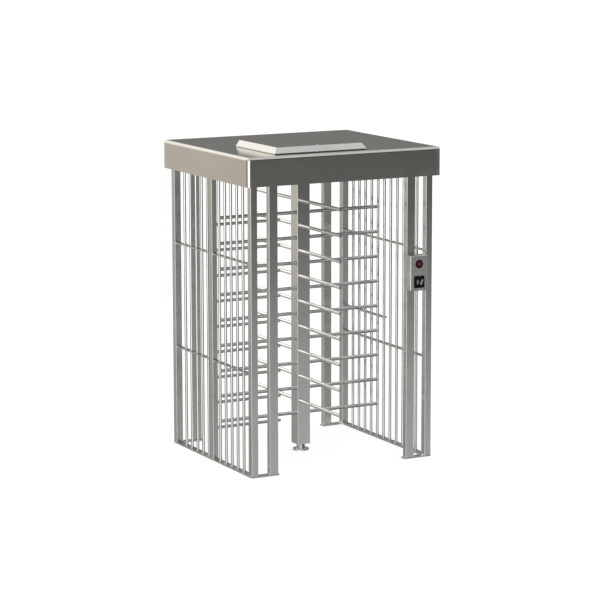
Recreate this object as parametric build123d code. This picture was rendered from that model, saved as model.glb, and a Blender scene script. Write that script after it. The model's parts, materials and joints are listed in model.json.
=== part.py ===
"""Full-height visitor counter turnstile: barred cage, four-wing rotor and drive head under a canopy.

Millimetres. +Z is up, +X runs to the right as seen from the entry side, +Y runs from entry to exit.
The origin is on the floor, on the rotor's axis.
"""
from build123d import *
import math
import os

# ---------------------------------------------------------------- driving dimensions

CANOPY_X = 1500.0            # canopy, side to side
CANOPY_Y = 1340.0            # canopy, entry to exit
CANOPY_BOTTOM = 2005.0
CANOPY_TOP = 2205.0
CANOPY_ROUND = 21.0          # outside radius of the roof's edges and corners
SHEET = 2.0                  # sheet metal of canopy and lid
CANOPY_LIP = 25.0            # inward lip that closes the canopy's lower edge

CAGE_X = 1418.0              # outside faces of the cage, side to side
CAGE_Y = 1254.0              # outside faces of the cage, entry to exit
BASE_THICK = 10.0
BASE_WIDE = 50.0
RETURN_LONG = 212.0          # base strip's return across the front and back

OUTER_POST = 50.0
INNER_POST_X = 66.0
INNER_POST_Y = 40.0
INNER_POST_INSET = 138.0     # outside face of the cage to the inner post
POST_WALL = 2.0
POST_ROUND = 3.0
POST_TOP = 2007.0

BAR_RADIUS = 10.0
BAR_PITCH = 92.0
BARS_EACH_WAY = 5            # upright bars on each side of a wall's middle
RAIL_WIDE = 34.0
RAIL_THICK = 8.0
RAIL_HEIGHTS = (715.0, 1470.0)
SHORT_RAIL_HEIGHT = 905.0

COMB_POST_X = 40.0
COMB_POST_Y = 56.0
COMB_RADIUS = 11.0
COMB_BELOW_SIDE_ARM = 50.0
COMB_END_X = -163.0

ARM_LEVELS = 9
ARM_PITCH = 180.0
ARM_LOWEST = 281.0           # axis of the lowest side-to-side tube
ARM_RADIUS = 12.5
ARM_WALL = 1.5
ARM_LONG = 1250.0
ARM_SHIFT = -22.0            # middle of each through-tube, towards left and front
ARM_OFFSET = 34.5            # axis of each through-tube from the column's axis

COLUMN = 100.0
COLUMN_WALL = 2.5
COLUMN_BOTTOM = 48.0
COLUMN_TOP = 1998.0
END_PLATE = 8.0

FOOT_RADIUS = 60.0
FOOT_THICK = 10.0
NECK_RADIUS = 28.0
NECK_TOP = 42.0
FOOT_HOLE_CIRCLE = 92.0
FOOT_HOLE_RADIUS = 4.5
SPINDLE_RADIUS = 12.5

BASE_HOLE_RADIUS = 7.0
WALL_ANCHOR_Y = 322.0        # anchor holes under the side walls, from the middle
RETURN_ANCHOR_X = 615.0      # anchor holes in the returns, from the middle

FRAME_BEAM_X = 50.0
FRAME_BEAM_Z = 40.0
FRAME_BOTTOM = 2010.0
CROSS_BEAM_X = 275.0         # axes of the two beams that carry the mechanism plate
SOFFIT_THICK = 3.0

PLATE_THICK = 8.0
SHAFT_RADIUS = 20.0
SHAFT_TOP = 2160.0
RUNNING = 0.05               # radial clearance of shafts and pins in their bores

GEAR_MODULE = 4.0
MAIN_TEETH = 60
PINION_TEETH = 18
ENCODER_TEETH = 20
GEAR_BOTTOM = 2130.0
GEAR_WIDE = 14.0
BACKLASH = 0.5
MOTOR_DIRECTION = -90.0      # degrees round the shaft, from +X
ENCODER_DIRECTION = -135.0

DISC_BOTTOM = 2090.0
DISC_THICK = 12.0
DISC_RADIUS = 100.0
NOTCH_WIDE = 26.0
NOTCH_DEEP = 14.0

PAWL_PIVOT = (122.0, 78.0)   # distances of a pawl's pin from the shaft's axis
PAWL_SWING = 14.0            # degrees from clear of the disc to home in a notch
PLUNGER_TRAVEL = 19.6

LID_LEFT, LID_RIGHT = -500.0, 210.0
LID_FRONT, LID_BACK = -580.0, 10.0
LID_TOP = 2250.0
LID_BEVEL_WIDE = 28.0        # sloped band along the lid's front and sides
LID_BEVEL_TALL = 38.0
HATCH_INSET = 36.0           # lid's outside to the hatch's edge
HINGE_AXIS_Y = 16.0
HINGE_AXIS_Z = 2213.0
HINGE_RADIUS = 5.0
HINGE_PLACES = (-350.0, 60.0)
HINGE_LONG = 60.0
HINGE_PIN = 2.5
KNUCKLE_GAP = 0.5
LOCK_X = -145.0
LOCK_Y = -530.0
LOCK_RADIUS = 9.5
LOCK_BOTTOM = 2186.0
UPSTAND_TOP = 2238.0         # sheet upstand round the hatch
SEAL_TOP = 2246.0
GLAND_X = 450.0
GLAND_Z = 2110.0
GLAND_THREAD_RADIUS = 10.0
GLAND_BORE_RADIUS = 5.5

READER_LEFT = 496.0
READER_WIDE = 140.0
READER_DEEP = 68.0
READER_BOTTOM = 1209.0
READER_TALL = 248.0
LENS_RADIUS = 25.0
LENS_Z = 1397.0
CARD_X = 80.0
CARD_TALL = 84.0
CARD_Z = 1272.0

# ---------------------------------------------------------------- worked-out places

HALF_X = CAGE_X / 2
HALF_Y = CAGE_Y / 2
WALL_X = HALF_X - BASE_WIDE / 2
PLATE_BOTTOM = FRAME_BOTTOM + FRAME_BEAM_Z
PLATE_TOP = PLATE_BOTTOM + PLATE_THICK
ROOF_UNDER = CANOPY_TOP - SHEET
SIDE_ARM_HEIGHTS = [ARM_LOWEST + level * ARM_PITCH for level in range(ARM_LEVELS)]
LANE_ARM_HEIGHTS = [height + ARM_PITCH / 2 for height in SIDE_ARM_HEIGHTS]
COMB_HEIGHTS = [height - COMB_BELOW_SIDE_ARM for height in SIDE_ARM_HEIGHTS]
COMB_POST_LIMITS = (-HALF_X, -HALF_X + COMB_POST_X)
MAIN_PITCH_RADIUS = GEAR_MODULE * MAIN_TEETH / 2
HATCH_X = (LID_LEFT + HATCH_INSET, LID_RIGHT - HATCH_INSET)
HATCH_Y = (LID_FRONT + HATCH_INSET, LID_BACK - HATCH_INSET)


# ---------------------------------------------------------------- shapes

def block(x, y, z):
    """A box between pairs of limits."""
    middle = Pos(sum(x) / 2, sum(y) / 2, sum(z) / 2)
    return middle * Box(abs(x[1] - x[0]), abs(y[1] - y[0]), abs(z[1] - z[0]))


def rod(start, direction, length, radius):
    """A round bar from a point along a direction."""
    place = Plane(origin=start, z_dir=direction)
    return place * Cylinder(radius, length, align=(Align.CENTER, Align.CENTER, Align.MIN))


def upright(x, y, z, radius):
    """A vertical round bar between two heights."""
    return rod((x, y, z[0]), (0, 0, 1), z[1] - z[0], radius)


def ring(x, y, z, outer, inner):
    """A vertical sleeve between two heights."""
    return upright(x, y, z, outer) - upright(x, y, (z[0] - 1, z[1] + 1), inner)


def square_tube(x, y, z, wall, corner):
    """An upright rectangular tube with rounded corners, between pairs of limits."""
    outline = RectangleRounded(x[1] - x[0], y[1] - y[0], corner)
    hollow = RectangleRounded(x[1] - x[0] - 2 * wall, y[1] - y[0] - 2 * wall, max(corner - wall, 0.5))
    place = Pos((x[0] + x[1]) / 2, (y[0] + y[1]) / 2, z[0])
    return place * extrude(outline - hollow, z[1] - z[0])


def outline(points, bottom, thick):
    """A flat plate with straight edges through the points."""
    face = make_face(Polyline(*points, close=True))
    return Pos(0, 0, bottom) * extrude(face, thick)


def mirrored(shape):
    """The shape's mirror image across the middle, left to right."""
    return mirror(shape, about=Plane.YZ)


def polar(radius, degrees):
    """A point round the rotor's axis."""
    turn = math.radians(degrees)
    return radius * math.cos(turn), radius * math.sin(turn)


nodes = {}


def keep(name, *solids):
    """Stores one node: a single solid or a group of separate ones."""
    found = [solid for shape in solids for solid in shape.solids()]
    nodes[name] = found[0] if len(found) == 1 else Compound(children=found)


# ---------------------------------------------------------------- cage

def base_strip():
    """Right-hand floor strip: one plate bent round the wall's foot, with anchor holes."""
    wall = block((HALF_X - BASE_WIDE, HALF_X), (-HALF_Y, HALF_Y), (0, BASE_THICK))
    for side in (-1, 1):
        edge = side * HALF_Y
        wall += block((HALF_X - RETURN_LONG, HALF_X), (edge, edge - side * BASE_WIDE), (0, BASE_THICK))
    through = (-1, BASE_THICK + 1)
    for side in (-1, 1):
        wall -= upright(WALL_X, side * WALL_ANCHOR_Y, through, BASE_HOLE_RADIUS)
        wall -= upright(RETURN_ANCHOR_X, side * (HALF_Y - BASE_WIDE / 2), through, BASE_HOLE_RADIUS)
    return wall


def outer_post(side_x, side_y):
    x = sorted((side_x * HALF_X, side_x * (HALF_X - OUTER_POST)))
    y = sorted((side_y * HALF_Y, side_y * (HALF_Y - OUTER_POST)))
    return square_tube(x, y, (BASE_THICK, POST_TOP), POST_WALL, POST_ROUND)


def inner_post(side_x, side_y):
    near = HALF_X - INNER_POST_INSET
    x = sorted((side_x * near, side_x * (near - INNER_POST_X)))
    y = sorted((side_y * HALF_Y, side_y * (HALF_Y - INNER_POST_Y)))
    return square_tube(x, y, (BASE_THICK, POST_TOP), POST_WALL, POST_ROUND)


def wall_bars(side, steps):
    """Round uprights of one wall, at whole steps of the pitch from its middle."""
    return [upright(side * WALL_X, step * BAR_PITCH, (BASE_THICK, POST_TOP), BAR_RADIUS) for step in steps]


def rail(side, y, height, steps):
    """A flat rail with a hole for each upright that passes through it."""
    x = (side * WALL_X - RAIL_WIDE / 2, side * WALL_X + RAIL_WIDE / 2)
    bar = block(x, y, (height - RAIL_THICK / 2, height + RAIL_THICK / 2))
    for step in steps:
        place = step * BAR_PITCH
        if y[0] < place < y[1]:
            hole = (height - RAIL_THICK, height + RAIL_THICK)
            bar -= upright(side * WALL_X, place, hole, BAR_RADIUS + RUNNING)
    return bar


def comb_bar(height):
    """A fixed bar that stands out from the comb post, with a rounded free end."""
    start = COMB_POST_LIMITS[1]
    bar = rod((start, 0, height), (1, 0, 0), COMB_END_X - start, COMB_RADIUS)
    return fillet(bar.faces().sort_by(Axis.X)[-1].edges(), COMB_RADIUS * 0.45)


def make_cage():
    strip = base_strip()
    keep("base_strip_right", strip)
    keep("base_strip_left", mirrored(strip))
    for side_x, right_left in ((-1, "left"), (1, "right")):
        for side_y, front_back in ((-1, "front"), (1, "back")):
            keep(f"outer_post_{front_back}_{right_left}", outer_post(side_x, side_y))
            keep(f"inner_post_{front_back}_{right_left}", inner_post(side_x, side_y))

    right_steps = range(-BARS_EACH_WAY, BARS_EACH_WAY + 1)
    left_steps = [step for step in right_steps if step != 0]
    keep("right_wall_bars", *wall_bars(1, right_steps))
    keep("left_wall_bars", *wall_bars(-1, left_steps))

    wall_end = HALF_Y - OUTER_POST
    comb_side = COMB_POST_Y / 2
    left = []
    right = []
    for height in RAIL_HEIGHTS:
        left.append(rail(-1, (-wall_end, -comb_side), height, left_steps))
        left.append(rail(-1, (comb_side, wall_end), height, left_steps))
        right.append(rail(1, (-wall_end, wall_end), height, right_steps))
    right.append(rail(1, (-RAIL_WIDE / 2, wall_end), SHORT_RAIL_HEIGHT, right_steps))
    keep("left_rails", *left)
    keep("right_rails", *right)

    comb_y = (-comb_side, comb_side)
    keep("comb_post", square_tube(COMB_POST_LIMITS, comb_y, (BASE_THICK, POST_TOP), POST_WALL, POST_ROUND))
    keep("comb_bars", *[comb_bar(height) for height in COMB_HEIGHTS])


# ---------------------------------------------------------------- roof

def rounded_box(x, y, z, radius):
    """A box with rounded upright and upper edges and a square lower edge."""
    shape = block(x, y, z)
    shape = fillet(shape.edges().filter_by(Axis.Z), radius)
    return fillet(shape.faces().sort_by(Axis.Z)[-1].edges(), radius - 0.5)


def canopy_sheets():
    """The canopy's sheets: four roof strips round the hatch, four walls with lips, four upstands."""
    half_x = CANOPY_X / 2
    half_y = CANOPY_Y / 2
    top = CANOPY_TOP + 1
    shell = rounded_box((-half_x, half_x), (-half_y, half_y), (CANOPY_BOTTOM, CANOPY_TOP), CANOPY_ROUND)
    inside_x = (-half_x + SHEET, half_x - SHEET)
    inside_y = (-half_y + SHEET, half_y - SHEET)
    inside_z = (CANOPY_BOTTOM + SHEET, ROOF_UNDER)
    shell -= rounded_box(inside_x, inside_y, inside_z, CANOPY_ROUND - SHEET)
    mouth_x = half_x - CANOPY_LIP
    mouth_y = half_y - CANOPY_LIP
    shell -= block((-mouth_x, mouth_x), (-mouth_y, mouth_y), (CANOPY_BOTTOM - 1, CANOPY_BOTTOM + 2 * SHEET))
    shell -= block(HATCH_X, HATCH_Y, (ROOF_UNDER - 1, top))
    shell -= rod((GLAND_X, half_y - 10, GLAND_Z), (0, 1, 0), 20, GLAND_THREAD_RADIUS + RUNNING)

    fold = CANOPY_TOP - CANOPY_ROUND
    far = CANOPY_X
    roof_z = (fold, top)
    wall_z = (CANOPY_BOTTOM - 1, fold)
    regions = [
        ((-far, far), (-far, HATCH_Y[0]), roof_z),
        ((-far, far), (HATCH_Y[1], far), roof_z),
        ((-far, HATCH_X[0]), HATCH_Y, roof_z),
        ((HATCH_X[1], far), HATCH_Y, roof_z),
        ((-far, -mouth_x), (-far, far), wall_z),
        ((mouth_x, far), (-far, far), wall_z),
        ((-mouth_x, mouth_x), (-far, -mouth_y), wall_z),
        ((-mouth_x, mouth_x), (mouth_y, far), wall_z),
    ]
    sheets = [shell & block(*region) for region in regions]

    rim_z = (CANOPY_TOP, UPSTAND_TOP)
    rim_x = (HATCH_X[0] - SHEET, HATCH_X[1] + SHEET)
    sheets.append(block(rim_x, (HATCH_Y[0] - SHEET, HATCH_Y[0]), rim_z))
    sheets.append(block(rim_x, (HATCH_Y[1], HATCH_Y[1] + SHEET), rim_z))
    sheets.append(block((rim_x[0], HATCH_X[0]), HATCH_Y, rim_z))
    sheets.append(block((HATCH_X[1], rim_x[1]), HATCH_Y, rim_z))
    return sheets


def hatch_seal():
    """Rubber strip that caps the hatch's upstand."""
    grip = 3.0
    depth = 6.0
    outer_x = (HATCH_X[0] - SHEET - grip, HATCH_X[1] + SHEET + grip)
    outer_y = (HATCH_Y[0] - SHEET - grip, HATCH_Y[1] + SHEET + grip)
    inner_x = (HATCH_X[0] + grip, HATCH_X[1] - grip)
    inner_y = (HATCH_Y[0] + grip, HATCH_Y[1] - grip)
    body = block(outer_x, outer_y, (UPSTAND_TOP - depth, SEAL_TOP))
    body -= block(inner_x, inner_y, (UPSTAND_TOP - depth - 1, SEAL_TOP + 1))
    slot = block((HATCH_X[0] - SHEET, HATCH_X[1] + SHEET), (HATCH_Y[0] - SHEET, HATCH_Y[1] + SHEET),
                 (UPSTAND_TOP - depth - 1, UPSTAND_TOP))
    slot -= block(HATCH_X, HATCH_Y, (UPSTAND_TOP - depth - 2, UPSTAND_TOP + 1))
    return body - slot


def soffit_panel():
    x = (-CANOPY_X / 2 + 4, CANOPY_X / 2 - 4)
    y = (-CANOPY_Y / 2 + 4, CANOPY_Y / 2 - 4)
    panel = block(x, y, (POST_TOP, POST_TOP + SOFFIT_THICK))
    panel = fillet(panel.edges().filter_by(Axis.Z), CANOPY_ROUND - SHEET)
    return panel - upright(0, 0, (POST_TOP - 1, POST_TOP + SOFFIT_THICK + 1), SHAFT_RADIUS + 10)


def beam(x, y):
    """A rectangular tube that lies along its longer side."""
    wall = 3.0
    z = (FRAME_BOTTOM, FRAME_BOTTOM + FRAME_BEAM_Z)
    along_x = x[1] - x[0] > y[1] - y[0]
    hollow_z = (z[0] + wall, z[1] - wall)
    if along_x:
        return block(x, y, z) - block((x[0] - 1, x[1] + 1), (y[0] + wall, y[1] - wall), hollow_z)
    return block(x, y, z) - block((x[0] + wall, x[1] - wall), (y[0] - 1, y[1] + 1), hollow_z)


def roof_frame():
    inner_y = HALF_Y - FRAME_BEAM_X
    half_beam = FRAME_BEAM_X / 2
    beams = []
    for side in (-1, 1):
        edge_y = sorted((side * HALF_Y, side * inner_y))
        beams.append(beam((-HALF_X, HALF_X), edge_y))
        edge_x = sorted((side * HALF_X, side * (HALF_X - FRAME_BEAM_X)))
        beams.append(beam(edge_x, (-inner_y, inner_y)))
        middle = side * CROSS_BEAM_X
        beams.append(beam((middle - half_beam, middle + half_beam), (-inner_y, inner_y)))
    return beams


def canopy_bracket(side_x, side_y):
    """An angle post between the roof frame and the canopy's roof."""
    leg = 40.0
    thick = 4.0
    x = sorted((side_x * (HALF_X - 4), side_x * (HALF_X - 4 - leg)))
    y = sorted((side_y * (HALF_Y - 4), side_y * (HALF_Y - 4 - leg)))
    angle = block(x, y, (PLATE_BOTTOM, ROOF_UNDER))
    inner_x = sorted((side_x * (HALF_X - 4 - thick), side_x * (HALF_X - 5 - leg)))
    inner_y = sorted((side_y * (HALF_Y - 4 - thick), side_y * (HALF_Y - 5 - leg)))
    return angle - block(inner_x, inner_y, (PLATE_BOTTOM - 1, ROOF_UNDER + 1))


def cable_gland():
    """Hexagon gland with a round tail through the canopy's back wall."""
    wall = CANOPY_Y / 2
    place = Plane(origin=(GLAND_X, wall, GLAND_Z), z_dir=(0, 1, 0))
    body = place * extrude(RegularPolygon(14, 6), 9)
    body += rod((GLAND_X, wall + 9, GLAND_Z), (0, 1, 0), 10, 11)
    body += rod((GLAND_X, wall - 14, GLAND_Z), (0, 1, 0), 14, GLAND_THREAD_RADIUS)
    nut = Plane(origin=(GLAND_X, wall - SHEET - 6, GLAND_Z), z_dir=(0, 1, 0))
    body += nut * extrude(RegularPolygon(14, 6), 6)
    return body - rod((GLAND_X, wall - 20, GLAND_Z), (0, 1, 0), 50, GLAND_BORE_RADIUS)


def make_roof():
    keep("canopy_shell", *canopy_sheets())
    keep("hatch_seal", hatch_seal())
    keep("soffit_panel", soffit_panel())
    keep("roof_frame", *roof_frame())
    keep("canopy_brackets", *[canopy_bracket(x, y) for x in (-1, 1) for y in (-1, 1)])
    keep("cable_gland", cable_gland())


# ---------------------------------------------------------------- lid

def lid_body(inset, bottom, top):
    """A block the size of the lid, less an inset, with a sloped band along its front and sides."""
    body = block((LID_LEFT + inset, LID_RIGHT - inset), (LID_FRONT + inset, LID_BACK - inset), (bottom, top))
    cover = body.faces().sort_by(Axis.Z)[-1]
    sloped = cover.edges().sort_by(Axis.Y)[:-1]
    slant = math.hypot(LID_BEVEL_WIDE, LID_BEVEL_TALL)
    change = inset * (slant - LID_BEVEL_WIDE - LID_BEVEL_TALL)
    wide = LID_BEVEL_WIDE + change / LID_BEVEL_TALL
    tall = LID_BEVEL_TALL + change / LID_BEVEL_WIDE
    return chamfer(sloped, wide, tall, reference=cover)


def roof_lid():
    bottom = CANOPY_TOP + 2
    lid = lid_body(0, bottom, LID_TOP)
    lid -= lid_body(SHEET, bottom - 1, LID_TOP - SHEET)
    return lid - upright(LOCK_X, LOCK_Y, (bottom, LID_TOP + 1), LOCK_RADIUS + RUNNING)


def lid_lock():
    """Key cylinder with its long tail and cam; the cam lies along the lid's front when unlocked."""
    lock = upright(LOCK_X, LOCK_Y, (LID_TOP - 30, LID_TOP + 1), LOCK_RADIUS)
    lock += upright(LOCK_X, LOCK_Y, (LID_TOP + 1, LID_TOP + 4), 13)
    lock -= block((LOCK_X - 1, LOCK_X + 1), (LOCK_Y - 5, LOCK_Y + 5), (LID_TOP - 6, LID_TOP + 5))
    lock += upright(LOCK_X, LOCK_Y, (LOCK_BOTTOM, LID_TOP - 30), 4)
    cam = block((LOCK_X - 9, LOCK_X + 46), (LOCK_Y - 9, LOCK_Y + 9), (LOCK_BOTTOM, LOCK_BOTTOM + 4))
    return lock + fillet(cam.edges().filter_by(Axis.Z), 8)


def fixed_leaf(middle):
    """Leaf on the roof with the hinge's two outer knuckles."""
    start = middle - HINGE_LONG / 2
    third = HINGE_LONG / 3
    leaf_y = (HINGE_AXIS_Y + 6, HINGE_AXIS_Y + 32)
    leaf = block((start, start + HINGE_LONG), leaf_y, (CANOPY_TOP, CANOPY_TOP + 2))
    for place in (start, start + 2 * third + KNUCKLE_GAP):
        long = third - KNUCKLE_GAP
        foot = block((place, place + long), (HINGE_AXIS_Y, HINGE_AXIS_Y + 7), (CANOPY_TOP, HINGE_AXIS_Z - 2))
        leaf += foot
        leaf += rod((place, HINGE_AXIS_Y, HINGE_AXIS_Z), (1, 0, 0), long, HINGE_RADIUS)
        leaf -= rod((place - 1, HINGE_AXIS_Y, HINGE_AXIS_Z), (1, 0, 0), long + 2, HINGE_PIN + RUNNING)
    return leaf


def lid_leaf(middle):
    """Leaf on the lid's back wall with the hinge's middle knuckle."""
    start = middle - HINGE_LONG / 2
    third = HINGE_LONG / 3
    plate_y = (LID_BACK, LID_BACK + 2)
    leaf = block((start, start + HINGE_LONG), plate_y, (HINGE_AXIS_Z + 7, LID_TOP - 12))
    leaf += block((start + third, start + 2 * third), plate_y, (HINGE_AXIS_Z, HINGE_AXIS_Z + 8))
    leaf += rod((start + third, HINGE_AXIS_Y, HINGE_AXIS_Z), (1, 0, 0), third, HINGE_RADIUS)
    return leaf - rod((start, HINGE_AXIS_Y, HINGE_AXIS_Z), (1, 0, 0), HINGE_LONG, HINGE_PIN + RUNNING)


def make_lid():
    keep("roof_lid", roof_lid())
    keep("lid_lock", lid_lock())
    keep("lid_hinge_leaves", *[lid_leaf(middle) for middle in HINGE_PLACES])
    keep("fixed_hinge_leaves", *[fixed_leaf(middle) for middle in HINGE_PLACES])
    pins = []
    for middle in HINGE_PLACES:
        start = middle - HINGE_LONG / 2 - 1
        pins.append(rod((start, HINGE_AXIS_Y, HINGE_AXIS_Z), (1, 0, 0), HINGE_LONG + 2, HINGE_PIN))
    keep("lid_hinge_pins", *pins)


# ---------------------------------------------------------------- rotor

def arm(along_x, height):
    """One through-tube of two opposite wings."""
    near = ARM_SHIFT - ARM_LONG / 2
    if along_x:
        start, direction = (near, -ARM_OFFSET, height), (1, 0, 0)
    else:
        start, direction = (-ARM_OFFSET, near, height), (0, 1, 0)
    tube = rod(start, direction, ARM_LONG, ARM_RADIUS)
    return tube - rod(start, direction, ARM_LONG, ARM_RADIUS - ARM_WALL)


def end_plug(along_x, end, height):
    """Domed plug in a tube's mouth."""
    place = ARM_SHIFT + end * ARM_LONG / 2
    head = 4.0
    stem = 12.0
    if along_x:
        start, direction = (place, -ARM_OFFSET, height), (end, 0, 0)
    else:
        start, direction = (-ARM_OFFSET, place, height), (0, end, 0)
    cap = rod(start, direction, head, ARM_RADIUS)
    far = cap.edges().sort_by(Axis.X if along_x else Axis.Y)[-1 if end > 0 else 0]
    cap = fillet(far, head * 0.8)
    back = tuple(-part for part in direction)
    return cap + rod(start, back, stem, ARM_RADIUS - ARM_WALL - RUNNING)


def rotor_column():
    side = (-COLUMN / 2, COLUMN / 2)
    column = square_tube(side, side, (COLUMN_BOTTOM, COLUMN_TOP), COLUMN_WALL, POST_ROUND)
    reach = COLUMN / 2 + 5
    hole = ARM_RADIUS + RUNNING
    for height in SIDE_ARM_HEIGHTS:
        column -= rod((-reach, -ARM_OFFSET, height), (1, 0, 0), 2 * reach, hole)
    for height in LANE_ARM_HEIGHTS:
        column -= rod((-ARM_OFFSET, -reach, height), (0, 1, 0), 2 * reach, hole)
    return column


def column_end_plates():
    inside = COLUMN / 2 - COLUMN_WALL - 0.1
    limits = (-inside, inside)
    plates = []
    for z in ((COLUMN_BOTTOM, COLUMN_BOTTOM + END_PLATE), (COLUMN_TOP - END_PLATE, COLUMN_TOP)):
        plates.append(fillet(block(limits, limits, z).edges().filter_by(Axis.Z), 1.5))
    return plates


def lock_disc():
    """Disc with a notch at each quarter turn."""
    z = (DISC_BOTTOM, DISC_BOTTOM + DISC_THICK)
    disc = upright(0, 0, z, DISC_RADIUS)
    half = NOTCH_WIDE / 2
    deep = DISC_RADIUS - NOTCH_DEEP
    notch = block((deep, DISC_RADIUS + 5), (-half, half), (z[0] - 1, z[1] + 1))
    for quarter in range(4):
        disc -= Rot(0, 0, 90 * quarter) * notch
    for eighth in range(4):
        x, y = polar(62, 45 + 90 * eighth)
        disc -= upright(x, y, (z[0] - 1, z[1] + 1), 16)
    disc -= upright(0, 0, (z[0] - 1, z[1] + 1), SHAFT_RADIUS)
    hub = ring(0, 0, (z[1], GEAR_BOTTOM), 32, SHAFT_RADIUS)
    return disc + hub


def involute(base, radius):
    """Turn of an involute's point at a radius, in radians from its start."""
    if radius <= base:
        return 0.0
    pressure = math.acos(base / radius)
    return math.tan(pressure) - pressure


def gear(teeth, bottom, wide, tooth_at):
    """A spur gear about the Z axis, with a tooth centred at the angle tooth_at."""
    pitch = GEAR_MODULE * teeth / 2
    base = pitch * math.cos(math.radians(20))
    tip = pitch + GEAR_MODULE * 0.95
    root = pitch - GEAR_MODULE * 1.25
    half_tooth = (math.pi * GEAR_MODULE - BACKLASH) / (4 * pitch)
    start = half_tooth + involute(base, pitch)
    radii = [max(root, base) + step * (tip - max(root, base)) / 3 for step in range(4)]
    flank = [(root, start)] + [(radius, start - involute(base, radius)) for radius in radii]
    if root > base:
        flank = flank[1:]
    points = []
    for tooth in range(teeth):
        middle = math.radians(tooth_at) + 2 * math.pi * tooth / teeth
        for radius, turn in flank:
            points.append((radius * math.cos(middle - turn), radius * math.sin(middle - turn)))
        for radius, turn in reversed(flank):
            points.append((radius * math.cos(middle + turn), radius * math.sin(middle + turn)))
    return outline(points, bottom, wide)


def meshing_tooth(teeth, direction):
    """Angle of a follower's tooth, so that it is in mesh with the main gear at a direction."""
    main_step = 360 / MAIN_TEETH
    step = 360 / teeth
    ahead = -(direction % main_step) / main_step
    return direction + 180 - ahead * step + step / 2


def main_gear():
    wheel = gear(MAIN_TEETH, GEAR_BOTTOM, GEAR_WIDE, 0)
    z = (GEAR_BOTTOM - 1, GEAR_BOTTOM + GEAR_WIDE + 1)
    for place in range(6):
        x, y = polar(72, 60 * place)
        wheel -= upright(x, y, z, 22)
    wheel -= upright(0, 0, z, SHAFT_RADIUS)
    collar = ring(0, 0, (GEAR_BOTTOM + GEAR_WIDE, GEAR_BOTTOM + GEAR_WIDE + 10), 34, SHAFT_RADIUS)
    return wheel + collar


def make_rotor():
    keep("rotor_column", rotor_column())
    keep("column_end_plates", *column_end_plates())
    keep("side_arms", *[arm(True, height) for height in SIDE_ARM_HEIGHTS])
    keep("lane_arms", *[arm(False, height) for height in LANE_ARM_HEIGHTS])
    plugs = [end_plug(True, end, height) for height in SIDE_ARM_HEIGHTS for end in (-1, 1)]
    plugs += [end_plug(False, end, height) for height in LANE_ARM_HEIGHTS for end in (-1, 1)]
    keep("arm_end_plugs", *plugs)
    shaft = upright(0, 0, (COLUMN_TOP, SHAFT_TOP), SHAFT_RADIUS)
    keep("top_shaft", chamfer(shaft.faces().sort_by(Axis.Z)[-1].edges(), 2))
    spindle = upright(0, 0, (FOOT_THICK + 5, COLUMN_BOTTOM), SPINDLE_RADIUS)
    keep("foot_spindle", chamfer(spindle.faces().sort_by(Axis.Z)[0].edges(), 2))
    keep("lock_disc", lock_disc())
    keep("main_gear", main_gear())


# ---------------------------------------------------------------- bearings

BUSH_RADIUS = 17.5
BEARING_RADIUS = 34.0
BEARING_FLANGE = 62.0
BEARING_TALL = 25.0


def foot_flange():
    """Floor flange with a tapered neck round the lower bush."""
    foot = upright(0, 0, (0, FOOT_THICK), FOOT_RADIUS)
    foot = fillet(foot.faces().sort_by(Axis.Z)[-1].edges(), 4)
    foot += Pos(0, 0, FOOT_THICK) * Cone(NECK_RADIUS + 6, NECK_RADIUS, NECK_TOP - FOOT_THICK,
                                         align=(Align.CENTER, Align.CENTER, Align.MIN))
    foot -= upright(0, 0, (FOOT_THICK + 4, NECK_TOP + 1), BUSH_RADIUS + RUNNING)
    for place in range(4):
        x, y = polar(FOOT_HOLE_CIRCLE / 2, 45 + 90 * place)
        foot -= upright(x, y, (-1, FOOT_THICK + 1), FOOT_HOLE_RADIUS)
    return foot


def bearing_housing():
    """Flanged housing of the upper bearing, bolted to the mechanism plate."""
    thick = 8.0
    body = upright(0, 0, (PLATE_TOP, PLATE_TOP + thick), BEARING_FLANGE)
    body += upright(0, 0, (PLATE_TOP, PLATE_TOP + BEARING_TALL), BEARING_RADIUS + 10)
    body -= upright(0, 0, (PLATE_TOP - 1, PLATE_TOP + BEARING_TALL + 1), BEARING_RADIUS + RUNNING)
    for place in range(4):
        x, y = polar(BEARING_FLANGE - 9, 45 + 90 * place)
        body += Pos(x, y, PLATE_TOP + thick) * extrude(RegularPolygon(6.5, 6), 5)
    return body


def make_bearings():
    keep("foot_flange", foot_flange())
    keep("foot_bush", ring(0, 0, (FOOT_THICK + 4, NECK_TOP), BUSH_RADIUS, SPINDLE_RADIUS + RUNNING))
    keep("bearing_housing", bearing_housing())
    low = PLATE_TOP + 3
    keep("top_bearing", ring(0, 0, (low, low + 18), BEARING_RADIUS, SHAFT_RADIUS + RUNNING))


# ---------------------------------------------------------------- drive, locks and electronics

PLATE_X = (-CROSS_BEAM_X, CROSS_BEAM_X + FRAME_BEAM_X / 2)
PLATE_Y = (-400.0, 200.0)
GEARBOX = 70.0
GEARBOX_TOP = 2122.0
MOTOR_RADIUS = 30.0
MOTOR_LONG = 150.0
OUTPUT_RADIUS = 7.0
ENCODER_RADIUS = 25.0
ENCODER_TOP = 2118.0
ENCODER_SHAFT = 4.0
PIN_RADIUS = 5.0
SOLENOID_X = (186.0, 246.0)
SOLENOID_HALF_Y = 20.0
SOLENOID_TOP = 2118.0
PLUNGER_RADIUS = 5.0
PLUNGER_TIP = 149.5


def mechanism_plate():
    plate = block(PLATE_X, PLATE_Y, (PLATE_BOTTOM, PLATE_TOP))
    plate = fillet(plate.edges().filter_by(Axis.Z), 6)
    return plate - upright(0, 0, (PLATE_BOTTOM - 1, PLATE_TOP + 1), SHAFT_RADIUS + 6)


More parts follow.
